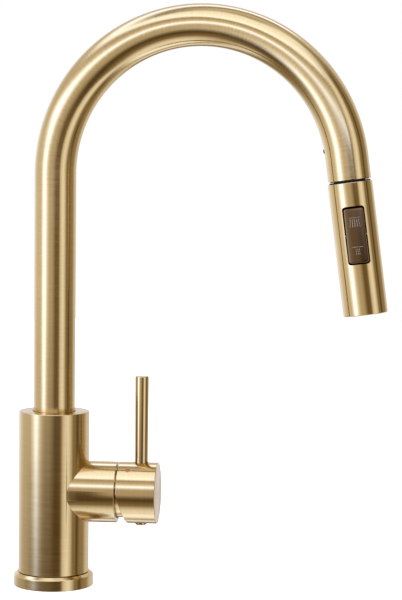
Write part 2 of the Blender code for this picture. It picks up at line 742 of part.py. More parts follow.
branch_direction = Vector((math.cos(BRANCH_AZIMUTH), math.sin(BRANCH_AZIMUTH), 0))
up = Vector((0, 0, 1))
branch_frame = make_empty("branch_frame", None, (0, 0, BRANCH_Z),
                          frame_rotation(up, branch_direction.cross(up), branch_direction))
lift_pivot = make_empty("lift_pivot", branch_frame, (0, 0, LIFT_PIVOT))
beside = head_direction().cross(Vector((0, 1, 0)))
dock_frame = make_empty("dock_frame", None, arc_point(ARC_SWEEP),
                        frame_rotation(-beside, Vector((0, 1, 0)), head_direction()))
head_frame = make_empty("head_frame", dock_frame, (0, 0, 0), Matrix.Rotation(HEAD_TWIST, 3, "Z"))
rocker_pivot = make_empty("rocker_pivot", head_frame, (0, ROCKER_PIVOT_Y, WINDOW_CENTRE),
                          Matrix.Rotation(ROCKER_REST_TILT, 3, "X"))

build_base()
build_body(branch_frame)
build_cartridge(branch_frame)
build_handle(branch_frame, lift_pivot)
build_spout(dock_frame)
build_hose(dock_frame)
build_head(dock_frame, head_frame)
build_rocker(rocker_pivot)
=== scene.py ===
import json
import math

import bmesh
import bpy
from mathutils import Matrix, Vector


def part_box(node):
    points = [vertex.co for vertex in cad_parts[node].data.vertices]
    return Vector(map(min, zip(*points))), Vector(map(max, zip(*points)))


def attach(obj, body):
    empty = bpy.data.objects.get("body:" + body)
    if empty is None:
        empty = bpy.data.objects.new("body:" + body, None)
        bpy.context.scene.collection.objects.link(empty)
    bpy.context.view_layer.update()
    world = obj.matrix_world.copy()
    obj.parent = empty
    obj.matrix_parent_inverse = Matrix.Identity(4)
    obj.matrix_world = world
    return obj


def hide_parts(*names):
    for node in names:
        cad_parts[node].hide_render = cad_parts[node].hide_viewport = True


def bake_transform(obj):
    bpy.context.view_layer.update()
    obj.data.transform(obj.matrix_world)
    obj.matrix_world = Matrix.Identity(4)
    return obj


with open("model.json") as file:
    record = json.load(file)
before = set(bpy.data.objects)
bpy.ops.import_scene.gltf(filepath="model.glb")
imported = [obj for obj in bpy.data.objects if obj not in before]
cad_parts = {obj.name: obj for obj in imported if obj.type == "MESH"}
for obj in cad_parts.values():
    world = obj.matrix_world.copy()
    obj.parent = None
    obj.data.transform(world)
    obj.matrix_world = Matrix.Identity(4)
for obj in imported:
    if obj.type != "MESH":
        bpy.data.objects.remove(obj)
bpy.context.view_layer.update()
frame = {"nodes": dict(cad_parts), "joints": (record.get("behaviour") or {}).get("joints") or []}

JOINTS = {joint["name"]: joint for joint in frame["joints"]}

# ---- design sizes shared with the CAD, in metres -------------------------------------------
TUBE_R = 0.0140
TUBE_BORE_R = 0.0128
TUBE_BOTTOM = 0.0976
ARC_R = 0.09905
ARC_Z = 0.2790
ARC_SWEEP = math.radians(172.2)
END_STRAIGHT = 0.0153
BODY_R = 0.0239
BODY_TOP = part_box("body_shell")[1].z
BODY_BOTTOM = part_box("body_shell")[0].z
BRANCH_R = 0.0207
BRANCH_END = 0.0439
HUB_START = 0.0449
HUB_END = 0.0713
HUB_CUT_SLOPE = math.tan(math.radians(15.8))
HUB_CUT_TOP = 0.0015
LEVER_STATION = 0.0598
DOT_STATION = 0.0522
DOT_TILT = math.radians(36.0)
HEAD_R = 0.0145
HEAD_START = 0.0169
HEAD_END = 0.1032
WINDOW_CENTRE = 0.05125
WINDOW_SIZE = (0.0145, 0.0378)
ROCKER_TILT = math.radians(3.5)
HOSE_R = 0.0060
HOSE_LEAD = 0.045
SCREW_ANGLE = math.radians(168.7)

# ---- sides of the turned shapes ------------------------------------------------------------
FINEST = 256
FINE = 192
MEDIUM = 96
HOSE_SIDES = 64
COARSE = 48
SMALL = 32


# ---- local frames, from the joints ---------------------------------------------------------
def axes(origin, x_axis, y_axis, z_axis):
    """World matrix with these columns."""
    matrix = Matrix((x_axis, y_axis, z_axis)).transposed().to_4x4()
    matrix.translation = Vector(origin)
    return matrix


UP = Vector((0, 0, 1))
BASE = Matrix.Identity(4)
BRANCH_AXIS = Vector(JOINTS["temperature_turn"]["axis"]).normalized()
BRANCH = axes(JOINTS["temperature_turn"]["pos_m"], UP, BRANCH_AXIS.cross(UP), BRANCH_AXIS)
LEVER = axes(BRANCH @ Vector((0, 0, LEVER_STATION)), -BRANCH_AXIS, BRANCH_AXIS.cross(UP), UP)
HEAD_AXIS = Vector(JOINTS["head_pull"]["axis"]).normalized()
HEAD_X = -Vector(JOINTS["button_rock"]["axis"]).normalized()
HEAD = axes(JOINTS["head_twist"]["pos_m"], HEAD_X, HEAD_AXIS.cross(HEAD_X), HEAD_AXIS)
ROCKER = axes(JOINTS["button_rock"]["pos_m"], HEAD_X, HEAD_AXIS.cross(HEAD_X), HEAD_AXIS)
ROCKER = ROCKER @ Matrix.Rotation(ROCKER_TILT, 4, "X")


def along(matrix):
    """Stations on a straight axis: the frame's Z."""
    return lambda s: (matrix @ Vector((0, 0, s)), matrix.col[0].xyz, matrix.col[1].xyz)


def spout_station(s):
    """Stations on the spout's centreline: the height up to the bend, then the length along it."""
    bend = (s - ARC_Z) / ARC_R
    angle = min(max(bend, 0.0), ARC_SWEEP)
    inward = Vector((math.cos(angle), 0, -math.sin(angle)))
    ahead = Vector((math.sin(angle), 0, math.cos(angle)))
    centre = Vector((ARC_R, 0, ARC_Z)) - ARC_R * inward
    centre += ahead * (s - ARC_Z - ARC_R * angle)
    return centre, inward, Vector((0, 1, 0))


ARC_END = ARC_Z + ARC_R * ARC_SWEEP


# ---- shapes --------------------------------------------------------------------------------
def rounded(corners, closed=False, segments=5):
    """Profile (radius, station) from corners (radius, station, fillet radius)."""
    points = []
    count = len(corners)
    side_share = 0.49
    for i, (r, z, fillet) in enumerate(corners):
        at_end = not closed and i in (0, count - 1)
        if at_end or fillet == 0:
            points.append((r, z))
            continue
        here = Vector((r, z))
        before = Vector(corners[i - 1][:2]) - here
        after = Vector(corners[(i + 1) % count][:2]) - here
        turn = before.angle(after)
        reach = min(fillet / math.tan(turn / 2), before.length * side_share, after.length * side_share)
        radius = reach * math.tan(turn / 2)
        first = here + before.normalized() * reach
        last = here + after.normalized() * reach
        bisector = (before.normalized() + after.normalized()).normalized()
        centre = here + bisector * (radius / math.sin(turn / 2))
        start = first - centre
        sweep = math.pi - turn
        sign = 1 if start.x * (last - centre).y - start.y * (last - centre).x > 0 else -1
        for k in range(segments + 1):
            a = sign * sweep * k / segments
            points.append((centre.x + start.x * math.cos(a) - start.y * math.sin(a),
                           centre.y + start.x * math.sin(a) + start.y * math.cos(a)))
    return points


def revolve(name, profile, station, steps=MEDIUM, closed=False, shift=None):
    """Mesh of a profile turned about a line of stations, with UV = (turns, station + radius)."""
    on_axis = 1e-7
    shape = bmesh.new()
    uv = shape.loops.layers.uv.new("turn")
    rings = []
    for r, s in profile:
        centre, x_axis, y_axis = station(s)
        if r < on_axis:
            rings.append([shape.verts.new(centre)])
            continue
        ring = []
        for k in range(steps):
            a = math.tau * k / steps
            place = centre + (x_axis * math.cos(a) + y_axis * math.sin(a)) * r
            if shift:
                place = place + shift(r, s, a)
            ring.append(shape.verts.new(place))
        rings.append(ring)
    pairs = list(zip(range(len(rings)), range(1, len(rings))))
    if closed:
        pairs.append((len(rings) - 1, 0))
    for i, j in pairs:
        for k in range(steps):
            nxt = (k + 1) % steps
            corners = []
            for index, col in ((i, k), (i, k + 1), (j, k + 1), (j, k)):
                ring = rings[index]
                vert = ring[0] if len(ring) == 1 else ring[nxt if col == k + 1 else k]
                if vert not in [c[0] for c in corners]:
                    corners.append((vert, (col / steps, profile[index][1] + profile[index][0])))
            if len(corners) < 3:
                continue
            face = shape.faces.new([c[0] for c in corners])
            for loop, (_, place) in zip(face.loops, corners):
                loop[uv].uv = place
    bmesh.ops.recalc_face_normals(shape, faces=shape.faces)
    return mesh_of(name, shape)


def mesh_of(name, shape):
    """Mesh of a finished bmesh."""
    mesh = bpy.data.meshes.new(name)
    shape.to_mesh(mesh)
    shape.free()
    return mesh


def add(name, data):
    obj = bpy.data.objects.new(name, data)
    bpy.context.scene.collection.objects.link(obj)
    return obj


def turned(name, profile, station, steps=MEDIUM, closed=False, shift=None):
    """Object of a turned mesh."""
    return add(name, revolve(name, profile, station, steps, closed, shift))


def shade(obj, angle=35.0):
    """Smooth shading, with sharp edges over the angle."""
    obj.data.shade_smooth()
    obj.data.set_sharp_from_angle(angle=math.radians(angle))
    return obj


def smooth(obj, angle=35.0):
    """Smooth shading that keeps the large faces flat."""
    shade(obj, angle)
    weighted = obj.modifiers.new("weighted", "WEIGHTED_NORMAL")
    weighted.weight = 90
    weighted.keep_sharp = True
    return obj


def cut(obj, cutters, operation="DIFFERENCE"):
    """Boolean with each cutter in turn, applied to obj's mesh."""
    for cutter in cutters:
        modifier = obj.modifiers.new("cut", "BOOLEAN")
        modifier.operation = operation
        modifier.solver = "EXACT"
        modifier.object = cutter
    bpy.context.view_layer.update()
    evaluated = obj.evaluated_get(bpy.context.evaluated_depsgraph_get())
    mesh = bpy.data.meshes.new_from_object(evaluated)
    obj.modifiers.clear()
    obj.data = mesh
    for cutter in cutters:
        bpy.data.objects.remove(cutter)


def bar(name, radius, low, high, station, steps=COARSE):
    """Plain solid bar, used as a cutter."""
    return turned(name, [(0, high), (radius, high), (radius, low), (0, low)], station, steps)


def settle(obj, body, material, *nodes, slot=None):
    """Gives a finished piece its material and body, and hides the CAD nodes that it stands for."""
    obj.data.materials.clear()
    obj.data.materials.append(material)
    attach(obj, body)
    if nodes:
        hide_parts(*nodes)


# ---- materials -----------------------------------------------------------------------------
WARM_GLOSS = (1.0, 0.86, 0.64, 1.0)
METAL_GLOSS = (1.0, 0.97, 0.90, 1.0)
# The studio's mirror image shifts with the place on the object, as nearby lamps' would.
STUDIO_MIDDLE = (-0.275, 0.0, 0.22)
STUDIO_NEARNESS = (-0.2, 0.55, 0.55)


class Nodes:
    """Short hand for building a node tree."""

    def __init__(self, tree):
        self.tree = tree

    def node(self, kind, **settings):
        made = self.tree.nodes.new(kind)
        for key, value in settings.items():
            setattr(made, key, value)
        return made

    def link(self, source, target):
        self.tree.links.new(source, target)

    def feed(self, socket, value):
        """Sets a socket to a plain value, or links it to an output."""
        if isinstance(value, bpy.types.NodeSocket):
            self.link(value, socket)
        else:
            socket.default_value = value

    def math(self, operation, *values):
        made = self.node("ShaderNodeMath", operation=operation)
        for socket, value in zip(made.inputs, values):
            self.feed(socket, value)
        return made.outputs[0]

    def vector(self, operation, *values):
        made = self.node("ShaderNodeVectorMath", operation=operation)
        for socket, value in zip(made.inputs, values):
            self.feed(socket, value)
        return made.outputs["Value" if operation == "DOT_PRODUCT" else "Vector"]

    def split(self, vector):
        made = self.node("ShaderNodeSeparateXYZ")
        self.link(vector, made.inputs[0])
        return made.outputs

    def mix(self, fac, first, second):
        """Mixed colour."""
        made = self.node("ShaderNodeMix", data_type="RGBA")
        colours = [socket for socket in made.inputs if socket.type == "RGBA"]
        for socket, value in zip([made.inputs[0], *colours], (fac, first, second)):
            self.feed(socket, value)
        return [socket for socket in made.outputs if socket.type == "RGBA"][0]


class MaterialNodes(Nodes):
    """The node tree of a new material."""

    def __init__(self, name):
        self.material = bpy.data.materials.new(name)
        self.material.use_nodes = True
        super().__init__(self.material.node_tree)
        self.shader = self.tree.nodes["Principled BSDF"]

    def surface(self, **values):
        """Sets or links the shader's sockets, named with underscores for spaces."""
        for key, value in values.items():
            self.feed(self.shader.inputs[key.replace("_", " ")], value)

    def noise(self, vector, scale, detail=2.0, roughness=0.5):
        made = self.node("ShaderNodeTexNoise")
        made.inputs["Scale"].default_value = scale
        made.inputs["Detail"].default_value = detail
        made.inputs["Roughness"].default_value = roughness
        self.link(vector, made.inputs["Vector"])
        return made.outputs["Fac"]

    def spread(self, value, low, high, start=0.3, end=0.7):
        """Maps start..end of a texture to low..high."""
        made = self.node("ShaderNodeMapRange")
        made.inputs["From Min"].default_value = start
        made.inputs["From Max"].default_value = end
        made.inputs["To Min"].default_value = low
        made.inputs["To Max"].default_value = high
        self.link(value, made.inputs["Value"])
        return made.outputs[0]

    def tint(self, fac, colour, low, high):
        """A colour times low to high, by the factor."""
        first, second = ((*(channel * times for channel in colour), 1) for times in (low, high))
        return self.mix(fac, first, second)

    def near_lamps(self):
        """Normal leaning by the distance from STUDIO_MIDDLE, times STUDIO_NEARNESS."""
        geometry = self.node("ShaderNodeNewGeometry").outputs
        offset = self.vector("SUBTRACT", geometry["Position"], STUDIO_MIDDLE)
        lean = self.vector("MULTIPLY", offset, STUDIO_NEARNESS)
        return self.vector("NORMALIZE", self.vector("ADD", geometry["Normal"], lean))

    def bump(self, height, distance, normal=None):
        made = self.node("ShaderNodeBump")
        if normal:
            self.link(normal, made.inputs["Normal"])
        made.inputs["Distance"].default_value = distance
        self.link(height, made.inputs["Height"])
        self.surface(Normal=made.outputs[0])

    def place(self):
        return self.node("ShaderNodeTexCoord").outputs["Object"]

    def turn_map(self):
        """UV map of the turned surfaces, split."""
        return self.split(self.node("ShaderNodeUVMap", uv_map="turn").outputs[0])

    def turned_place(self, around, lengthwise):
        """Coordinates on a turned surface: slow round the axis, fast along it, with no seam."""
        turn = self.turn_map()
        angle = self.math("MULTIPLY", turn["X"], math.tau)
        made = self.node("ShaderNodeCombineXYZ")
        self.link(self.math("MULTIPLY", self.math("COSINE", angle), around), made.inputs["X"])
        self.link(self.math("MULTIPLY", self.math("SINE", angle), around), made.inputs["Y"])
        self.link(self.math("MULTIPLY", turn["Y"], lengthwise), made.inputs["Z"])
        return made.outputs[0]


def metal(name, colour, roughness, line_depth, line_length=2600.0, variation=0.06, anisotropy=0.0,
          waviness=0.0):
    """Metal with turning or brushing lines round its axis, faint smudges and colour variation."""
    line_share = 0.55
    n = MaterialNodes(name)
    lines_place = n.turned_place(around=1.5, lengthwise=line_length)
    lines = n.noise(lines_place, scale=1.0, detail=4.0, roughness=0.7)
    smudge = n.noise(n.place(), scale=42.0, detail=3.0, roughness=0.55)
    cloud = n.noise(n.place(), scale=9.0)
    tone = n.math("ADD", n.math("MULTIPLY", lines, line_share),
                  n.math("MULTIPLY", cloud, 1 - line_share))
    tone = n.spread(tone, 0, 1, start=0.35, end=0.65)
    line_gloss = n.spread(lines, -0.035, 0.035)
    smudge_gloss = n.spread(smudge, roughness - 0.02, roughness + 0.03)
    n.surface(Base_Color=n.tint(tone, colour, 1 - variation, 1 + variation),
              Roughness=n.math("ADD", line_gloss, smudge_gloss), Metallic=1.0,
              Anisotropic=anisotropy, Anisotropic_Rotation=0.25, Specular_Tint=METAL_GLOSS)
    if anisotropy:
        tangent = n.node("ShaderNodeTangent", direction_type="UV_MAP", uv_map="turn")
        n.surface(Tangent=tangent.outputs[0])
    swell = n.noise(n.place(), scale=24.0, detail=1.0)
    relief = n.math("ADD", n.math("MULTIPLY", lines, line_depth), n.math("MULTIPLY", swell, waviness))
    n.bump(relief, distance=1.0, normal=n.near_lamps())
    return n.material


def plain_metal(name, colour, roughness, grain_scale=900.0, depth=0.000006):
    """Cast, sintered or machined metal on parts with no turning coordinates."""
    n = MaterialNodes(name)
    grain = n.noise(n.place(), grain_scale, detail=4.0, roughness=0.6)
    cloud = n.noise(n.place(), scale=60.0)
    n.surface(Base_Color=n.tint(n.spread(cloud, 0, 1), colour, 0.88, 1.1),
              Roughness=n.spread(grain, roughness - 0.06, roughness + 0.08), Metallic=1.0)
    n.bump(grain, depth)
    return n.material


def moulded(name, colour, roughness, grain_scale=1600.0, depth=0.000012, coat=0.0, gloss=0.5):
    """Moulded plastic, rubber, enamel or ceramic: fine grain, faint flow marks."""
    n = MaterialNodes(name)
    grain = n.noise(n.place(), grain_scale, detail=3.0, roughness=0.6)
    flow = n.noise(n.place(), scale=70.0)
    n.surface(Base_Color=n.tint(n.spread(flow, 0, 1), colour, 0.85, 1.12),
              Roughness=n.spread(grain, roughness - 0.05, roughness + 0.07),
              Specular_IOR_Level=gloss, Specular_Tint=WARM_GLOSS, Coat_Weight=coat,
              Coat_Roughness=0.08)
    n.bump(grain, depth)
    return n.material


def braided(name, dark, light):
    """Nylon braid: crossing strands from the angle round the hose and the height along it."""
    strands_round = 12
    strand_rise = 0.0032
    n = MaterialNodes(name)
    turn = n.turn_map()
    place = n.split(n.place())
    angle = n.math("MULTIPLY", turn["X"], math.tau * strands_round)
    height = n.math("MULTIPLY", place["Z"], math.tau / strand_rise)
    right = n.math("SINE", n.math("ADD", angle, height))
    left = n.math("SINE", n.math("SUBTRACT", angle, height))
    strands = n.spread(n.math("MAXIMUM", right, left), 0, 1, start=0.0, end=1.0)
    n.surface(Base_Color=n.mix(strands, (*dark, 1), (*light, 1)),
              Roughness=n.spread(strands, 0.62, 0.42, start=0.0, end=1.0),
              Specular_IOR_Level=0.30, Specular_Tint=WARM_GLOSS, Sheen_Weight=0.08)
    n.bump(strands, 0.00025)
    return n.material


GOLD = (0.60, 0.43, 0.19)
brushed_gold = metal("brushed_gold", GOLD, roughness=0.15, line_depth=0.000004, line_length=1400.0,
                     variation=0.09, anisotropy=0.75, waviness=0.00012)
polished_gold = metal("polished_gold", GOLD, roughness=0.035, line_depth=0.0000006, variation=0.03)
dark_gold = metal("dark_gold", (0.15, 0.088, 0.037), roughness=0.04, line_depth=0.0000004,
                  variation=0.05)
machined_brass = metal("machined_brass", (0.62, 0.47, 0.21), roughness=0.26, line_depth=0.000006,
                       line_length=1800.0)
machined_steel = metal("machined_steel", (0.60, 0.53, 0.42), roughness=0.24, line_depth=0.000006,
                       line_length=1800.0)
cast_brass = plain_metal("cast_brass", (0.58, 0.43, 0.19), roughness=0.36)
turned_steel = plain_metal("turned_steel", (0.55, 0.53, 0.50), roughness=0.30)
# Steel darkened below its own colour: painted shade for the catch ring, which sits deep in the gap between
# spout and head.
shade_darkened_steel = plain_metal("shade_darkened_steel", (0.16, 0.145, 0.12), roughness=0.45)
sintered_magnet = plain_metal("sintered_magnet", (0.13, 0.13, 0.14), roughness=0.42, grain_scale=1500.0)
etched = plain_metal("etched_mark", (0.50, 0.40, 0.26), roughness=0.30, grain_scale=1200.0,
                     depth=0.000003)
black_plastic = moulded("black_plastic", (0.010, 0.009, 0.008), roughness=0.60, gloss=0.10)
white_plastic = moulded("white_plastic", (0.74, 0.74, 0.71), roughness=0.40)
grey_plastic = moulded("grey_plastic", (0.27, 0.28, 0.30), roughness=0.40)
seal_rubber = moulded("seal_rubber", (0.022, 0.022, 0.022), roughness=0.62, grain_scale=1100.0,
                      depth=0.00002)
nozzle_silicone = moulded("nozzle_silicone", (0.10, 0.10, 0.105), roughness=0.50, grain_scale=1200.0,
                          depth=0.00001)
lapped_ceramic = moulded("lapped_ceramic", (0.84, 0.83, 0.79), roughness=0.16, grain_scale=2200.0,
                         depth=0.000002, coat=0.3)
ENAMEL = {"roughness": 0.30, "grain_scale": 900.0, "depth": 0.000003, "gloss": 0.3}
hot_enamel = moulded("hot_enamel", (0.62, 0.17, 0.07), **ENAMEL)
cold_enamel = moulded("cold_enamel", (0.03, 0.10, 0.50), **ENAMEL)
nylon_braid = braided("nylon_braid", dark=(0.010, 0.008, 0.005), light=(0.080, 0.063, 0.042))


# ---- base and deck fixing ------------------------------------------------------------------
# Profiles are lists of (radius, station, fillet radius), in metres.
SHANK_HOLE_R = 0.0164
WASHER_R = 0.025


def build_flange():
    profile = rounded([
        (SHANK_HOLE_R, 0.0090, 0), (0.0247, 0.0090, 0.0004), (0.0270, 0.0073, 0.0009),
        (0.0270, 0.0, 0.0003), (0.0233, 0.0, 0), (0.0233, 0.0024, 0), (0.0182, 0.0024, 0),
        (0.0182, 0.0, 0), (SHANK_HOLE_R, 0.0, 0),
    ], closed=True)
    flange = turned("base_ring", profile, along(BASE), FINE, closed=True)
    settle(smooth(flange), "body", brushed_gold, "base_flange", slot="brushed_gold")


def build_shank():
    """Shank with a real helical thread, from near its foot to just under the deck."""
    low, high = -0.042, 0.0117
    thread_low, thread_high = low + 0.0015, -0.004
    rows_high = -0.002
    pitch = 0.0020
    depth = 0.0009
    crest = 0.0160
    bore = 0.0130
    rows_a_turn = 8

    def wave(r, s, a):
        """Moves the crest's rows inward to the thread's roots."""
        if r < crest - 0.0001 or s > thread_high or s < thread_low:
            return Vector((0, 0, 0))
        phase = (s / pitch + a / math.tau) % 1.0
        inward = depth * (0.5 + 0.5 * math.cos(math.tau * phase))
        return Vector((math.cos(a), math.sin(a), 0)) * -inward

    rows = int((rows_high - low) / (pitch / rows_a_turn)) - rows_a_turn
    profile = [(bore, high), (0.0156, high), (crest, high - 0.0004), (crest, rows_high)]
    profile += [(crest, rows_high - (i + 1) * pitch / rows_a_turn) for i in range(rows)]
    profile += [(crest, low + 0.0010), (0.0152, low), (bore, low)]
    shank = turned("shank_thread", profile, along(BASE), closed=True, shift=wave)
    settle(smooth(shank, 60), "body", machined_brass, "threaded_shank", slot="raw_brass")


def build_washers():
    for name, node, top, bottom, edge, material, slot in (
        ("rubber_pad", "rubber_washer", -0.020, -0.023, 0.0006, seal_rubber, "rubber"),
        ("steel_pad", "steel_washer", -0.0233, -0.0251, 0.0003, machined_steel, "steel"),
    ):
        profile = rounded([(SHANK_HOLE_R, top, edge / 2), (WASHER_R, top, edge),
                           (WASHER_R, bottom, edge), (SHANK_HOLE_R, bottom, edge / 2)], closed=True)
        washer = turned(name, profile, along(BASE), closed=True)
        settle(smooth(washer), "body", material, node, slot=slot)
    seal = rounded([(0.0186, 0.0021, 0.0003), (0.0229, 0.0021, 0.0003), (0.0229, 0, 0.0006),
                    (0.0186, 0, 0.0006)], closed=True)
    gasket = turned("deck_gasket", seal, along(BASE), closed=True)
    settle(smooth(gasket), "body", seal_rubber, "base_seal", slot="rubber")


def build_nut():
    """Hexagonal nut: a hexagonal prism cut back to a chamfered cone at both faces."""
    low, high = -0.0344, -0.0254
    across = 0.0235
    rim = 0.0236
    chamfer = 0.0016
    prism = [(0, high), (across, high), (across, low), (0, low)]
    hexagon = turned("hex_nut", prism, along(BASE), steps=6)
    cone = rounded([(SHANK_HOLE_R, high, 0.0004), (0.0204, high, 0.0002), (rim, high - chamfer, 0),
                    (rim, low + chamfer, 0), (0.0204, low, 0.0002), (SHANK_HOLE_R, low, 0.0004)],
                   closed=True)
    cut(hexagon, [turned("nut_chamfer", cone, along(BASE), closed=True)], "INTERSECT")
    settle(smooth(hexagon, 20), "body", machined_brass, "mounting_nut", slot="raw_brass")


# ---- body ----------------------------------------------------------------------------------
def build_body():
    """Body with its branch, bored for the spout and the cartridge, and the branch's trim collar."""
    past = 0.001
    journal_r = 0.0144
    cavity_r = 0.0206
    cavity_top = 0.1150
    outer = rounded([(0, BODY_TOP, 0), (BODY_R, BODY_TOP, 0.0006), (BODY_R, BODY_BOTTOM, 0.0003),
                     (0, BODY_BOTTOM, 0)])
    body = turned("body_casting", outer, along(BASE), FINEST)
    branch = rounded([(0, BRANCH_END, 0), (BRANCH_R, BRANCH_END, 0.0004), (BRANCH_R, past, 0),
                      (0, past, 0)])
    cut(body, [turned("branch_arm", branch, along(BRANCH), FINEST)], "UNION")
    bore = rounded([(0, BODY_TOP + past, 0), (0.0152, BODY_TOP + past, 0),
                    (journal_r, BODY_TOP - 0.0006, 0), (journal_r, cavity_top, 0),
                    (cavity_r, cavity_top, 0), (cavity_r, BODY_BOTTOM - past, 0),
                    (0, BODY_BOTTOM - past, 0)])
    inside = turned("body_bore", bore, along(BASE))
    pocket = bar("branch_bore", radius=0.01775, low=0.010, high=BRANCH_END + past,
                 station=along(BRANCH), steps=MEDIUM)
    cut(body, [inside, pocket])
    settle(smooth(body, 32), "body", brushed_gold, "body_shell", slot="brushed_gold")

    collar = rounded([
        (0.0093, 0.0512, 0.0001), (0.0120, 0.0512, 0.0006), (0.0156, 0.0507, 0.0012),
        (0.0170, 0.0496, 0.0008), (0.0170, 0.0436, 0.0002), (0.0158, 0.0436, 0), (0.0158, 0.0490, 0),
        (0.0145, 0.0497, 0), (0.0093, 0.0500, 0),
    ], closed=True)
    trim = turned("cartridge_trim", collar, along(BRANCH), FINE, closed=True)
    settle(smooth(trim), "body", brushed_gold, "trim_collar", slot="brushed_gold")


# ---- lever handle --------------------------------------------------------------------------
def build_hub():
    """Hub with a slanted rear edge, and the hot and cold dots in their recesses."""
    cavity_r = 0.0179
    cavity_floor = 0.0556
    rim = 0.0006
    profile = rounded([
        (0, HUB_END, 0), (BRANCH_R, HUB_END, 0.0006), (BRANCH_R, HUB_START, 0.00035),
        (cavity_r, HUB_START, 0.0003), (cavity_r, cavity_floor, 0.0008), (0, cavity_floor, 0),
    ])

    def slant(r, s, a):
        """Moves the rim back to the slanted edge."""
        if s > HUB_START + rim:
            return Vector((0, 0, 0))
        height = r * math.cos(a)
        return BRANCH_AXIS * max(0.0, (HUB_CUT_TOP - height) * HUB_CUT_SLOPE)

    hub = turned("hub_casting", profile, along(BRANCH), FINEST, shift=slant)
    cutters = [bar("lever_hole", radius=0.0048, low=0.0186, high=0.030, station=along(LEVER)),
               bar("plug_hole", radius=0.0042, low=-0.030, high=-0.0168, station=along(LEVER))]
    dots = []
    for name, node, material, slot, side in (
        ("hot", "hot_dot", hot_enamel, "hot_red", 1),
        ("cold", "cold_dot", cold_enamel, "cold_blue", -1),
    ):
        tilt = side * DOT_TILT
        outward = BRANCH.to_3x3() @ Vector((math.cos(tilt), math.sin(tilt), 0))
        outward.normalize()
        across = BRANCH_AXIS.cross(outward)
        place = axes(BRANCH @ Vector((0, 0, DOT_STATION)), BRANCH_AXIS, -across, outward)
        cutters.append(bar(name + "_recess", radius=0.0015, low=0.0200, high=0.0230,
                           station=along(place), steps=SMALL))
        dots.append((name, node, material, slot, place))
    cut(hub, cutters)
    settle(smooth(hub, 32), "lever", brushed_gold, "handle_hub", slot="brushed_gold")
    dome = rounded([(0, 0.02066, 0), (0.0013, 0.02055, 0.0002), (0.0013, 0.0202, 0), (0, 0.0202, 0)])
    for name, node, material, slot, place in dots:
        dot = turned(name + "_mark", dome, along(place), COARSE)
        settle(smooth(dot), "lever", material, node, slot=slot)


def build_lever():
    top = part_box("lever_rod")[1].z - BRANCH.translation.z
    rod = rounded([(0, top, 0), (0.0047, top, 0.0005), (0.0045, 0.0215, 0), (0.0045, 0.0189, 0.0003),
                   (0.0036, 0.0189, 0), (0.0036, 0.0063, 0.0003), (0, 0.0063, 0)])
    lever = turned("lever_bar", rod, along(LEVER))
    settle(smooth(lever), "lever", polished_gold, "lever_rod", slot="polished_gold")
    plug = rounded([(0, -0.0171, 0), (0.00395, -0.0171, 0), (0.00395, -0.0216, 0.0009),
                    (0.0022, -0.02225, 0.002), (0, -0.0223, 0)])
    button = turned("hub_cap", plug, along(LEVER))
    settle(smooth(button), "lever", polished_gold, "hub_plug", slot="polished_gold")


# ---- spout ---------------------------------------------------------------------------------
def build_spout():
    end = ARC_END + END_STRAIGHT
    bends = 96
    arc = [ARC_Z + ARC_R * ARC_SWEEP * i / bends for i in range(bends + 1)]
    lip = 0.0003
    halfway = 0.20
    outer = [(TUBE_R - lip, TUBE_BOTTOM), (TUBE_R, TUBE_BOTTOM + lip), (TUBE_R, BODY_TOP),
             (TUBE_R, halfway)]
    outer += [(TUBE_R, s) for s in arc]
    outer += [(TUBE_R, end - lip), (TUBE_R - 0.3 * lip, end - 0.3 * lip), (TUBE_R - lip, end)]
    inner = [(TUBE_BORE_R + lip, end), (TUBE_BORE_R, end - lip)]
    inner += [(TUBE_BORE_R, s) for s in reversed(arc)]
    inner += [(TUBE_BORE_R, TUBE_BOTTOM + lip), (TUBE_BORE_R + lip, TUBE_BOTTOM)]
    profile = (outer + inner)[::-1]
    tube = turned("gooseneck", profile, spout_station, FINE, closed=True)
    outward = Vector((-math.cos(SCREW_ANGLE), 0, math.sin(SCREW_ANGLE)))
    screw_frame = axes((ARC_R, 0, ARC_Z), Vector((0, 1, 0)), outward.cross(Vector((0, 1, 0))), outward)
    inner_side = ARC_R - TUBE_R
    hole = bar("screw_hole", radius=0.0017, low=inner_side - 0.002, high=inner_side + 0.004,
               station=along(screw_frame), steps=SMALL)
    cut(tube, [hole])
    settle(smooth(tube), "spout", brushed_gold, "spout_tube", slot="brushed_gold")

    socket = rounded([
        (0, inner_side + 0.0040, 0), (0.0014, inner_side + 0.0040, 0),
        (0.0014, inner_side - 0.0006, 0.0002), (0.0007, inner_side - 0.0006, 0),
        (0.0007, inner_side + 0.0012, 0), (0, inner_side + 0.0012, 0),
    ])
    screw = turned("dock_grub", socket, along(screw_frame), SMALL)
    settle(smooth(screw), "spout", black_plastic, "dock_screw", slot="black_plastic")

    insert = rounded([
        (0.0107, 0.0117, 0.0002), (0.0125, 0.0117, 0.0002), (0.0125, 0.0010, 0), (0.0119, -0.0010, 0),
        (0.0119, -0.0090, 0), (0.0090, -0.0090, 0.0003), (0.0090, 0.0030, 0), (0.0093, 0.0060, 0),
    ], closed=True)
    sleeve = turned("dock_sleeve", insert, along(HEAD), closed=True)
    settle(smooth(sleeve), "spout", black_plastic, "dock_insert", slot="black_plastic")
    ring = rounded([(0.0107, 0.0150, 0.0002), (0.0125, 0.0150, 0.0002), (0.0125, 0.0120, 0.0002),
                    (0.0107, 0.0120, 0.0002)], closed=True)
    magnet = turned("magnet_ring", ring, along(HEAD), closed=True)
    settle(smooth(magnet), "spout", sintered_magnet, "dock_magnet", slot="magnet")


